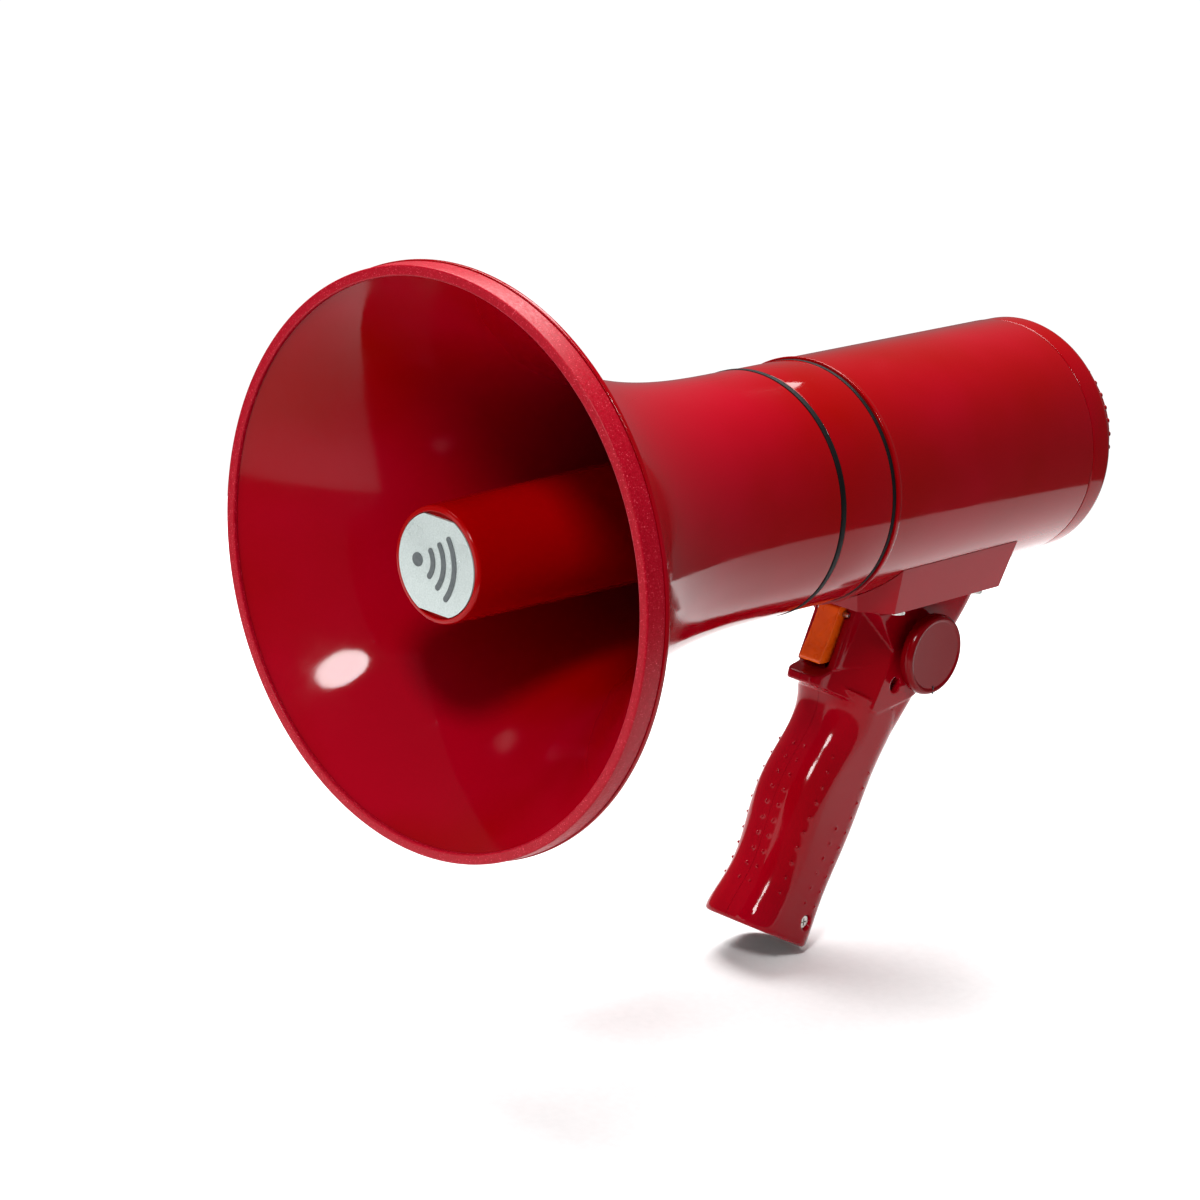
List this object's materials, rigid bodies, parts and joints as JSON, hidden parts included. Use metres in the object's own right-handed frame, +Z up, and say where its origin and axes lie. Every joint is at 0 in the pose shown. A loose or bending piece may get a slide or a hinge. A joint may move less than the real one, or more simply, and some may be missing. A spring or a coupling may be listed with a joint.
{
  "type": "handheld megaphone",
  "caption": "Battery handheld megaphone with a flared horn, reflector cup, speaker and battery housing, pistol grip, talk trigger, volume knob and rear microphone.",
  "frame": {"origin": "centre of the horn's mouth, on the horn axis, level with the front face of the rim guard", "axes": "+Y runs back along the horn axis towards the microphone, +Z is up with the grip hanging below, +X is the user's left, the side with the volume knob"},
  "size_m": [0.22, 0.357, 0.3072],
  "materials": {
    "red_shell": "glossy moulded ABS, deep red",
    "rim_red": "satin speckled moulded bumper, dark red",
    "cup_red": "glossy moulded ABS, deep red",
    "badge_metal": "satin metallic disc, grey-green",
    "badge_ink": "dark grey print",
    "black_rubber": "matt black rubber gasket",
    "black_plastic": "fine matt moulded black",
    "grey_plastic": "plain moulded grey",
    "diaphragm_film": "amber phenolic dome",
    "copper": "enamelled copper winding",
    "magnet": "dark grey ferrite, matt",
    "plated_steel": "zinc plated",
    "screw_steel": "bright plated screw",
    "foam": "open-cell black foam",
    "cell_sleeve": "plain printed sleeve",
    "spring_steel": "bright spring wire",
    "contact_metal": "nickel plated strip",
    "board": "green glass-fibre board",
    "component_black": "moulded black epoxy",
    "capacitor": "dark blue sleeve",
    "heat_metal": "extruded, plain",
    "wire_black": "soft black insulation",
    "wire_red": "soft red insulation",
    "grip_red": "glossy moulded ABS, deep red",
    "knob_red": "satin-gloss moulded, deep red",
    "trigger_orange": "satin moulded orange"
  },
  "bodies": {
    "megaphone_body": {"horn_bell": "red_shell", "rim_guard": "rim_red", "reflector_cup": "cup_red", "badge_plate": "badge_metal", "badge_mark": "badge_ink", "throat_tube": "black_plastic", "cup_spider": "black_plastic", "phase_plug": "black_plastic", "diaphragm": "diaphragm_film", "voice_coil": "copper", "driver_cage": "black_plastic", "driver_screws": "screw_steel", "driver_top_plate": "plated_steel", "driver_magnet": "magnet", "driver_yoke": "plated_steel", "front_gasket": "black_rubber", "speaker_housing": "red_shell", "rear_gasket": "black_rubber", "tie_bolts": "screw_steel", "rear_housing": "red_shell", "microphone_boot": "black_rubber", "microphone_capsule": "heat_metal", "battery_holder": "grey_plastic", "cells": "cell_sleeve", "battery_springs": "spring_steel", "front_contacts": "contact_metal", "amplifier_board": "board", "board_standoffs": "contact_metal", "heat_sink": "heat_metal", "power_transistors": "component_black", "capacitors": "capacitor", "output_transformer": "magnet", "speaker_leads": "wire_red", "microphone_lead": "wire_black", "control_leads": "wire_black", "saddle_bracket": "grip_red", "saddle_screws": "screw_steel", "grip_left": "grip_red", "grip_right": "grip_red", "grip_base": "black_plastic", "grip_screws": "screw_steel", "trigger_pin": "plated_steel", "trigger_spring": "spring_steel", "talk_switch": "component_black", "potentiometer": "plated_steel", "potentiometer_nut": "plated_steel"},
    "rear_lid": {"rear_lid": "red_shell", "mic_guard": "red_shell", "microphone_grille": "black_plastic", "microphone_foam": "foam", "contact_carrier": "black_plastic", "lid_contacts": "contact_metal"},
    "trigger": {"trigger": "trigger_orange"},
    "switch_button": {"switch_button": "grey_plastic"},
    "volume_knob": {"volume_knob": "knob_red", "potentiometer_shaft": "plated_steel"}
  },
  "joints": [
    {"name": "lid_slide", "type": "slide", "parent": "megaphone_body", "child": "rear_lid", "axis": [0, 1, 0], "range_m": [0, 0.04]},
    {"name": "trigger_hinge", "type": "hinge", "parent": "megaphone_body", "child": "trigger", "pos_m": [0, 0.2316, -0.0586], "axis": [1, 0, 0], "range_deg": [0, 8], "stiffness_Nm_per_rad": 0.6, "springref_deg": -5.73, "deforming": ["trigger_spring"]},
    {"name": "switch_slide", "type": "slide", "parent": "megaphone_body", "child": "switch_button", "axis": [0, 1, 0], "range_m": [0, 0.0025]},
    {"name": "volume_turn", "type": "hinge", "parent": "megaphone_body", "child": "volume_knob", "pos_m": [0, 0.263, -0.0758], "axis": [1, 0, 0], "range_deg": [0, 280]}
  ],
  "couplings": [
    {"joint": "switch_slide", "follows": "trigger_hinge", "m_per_rad": 0.0135}
  ]
}
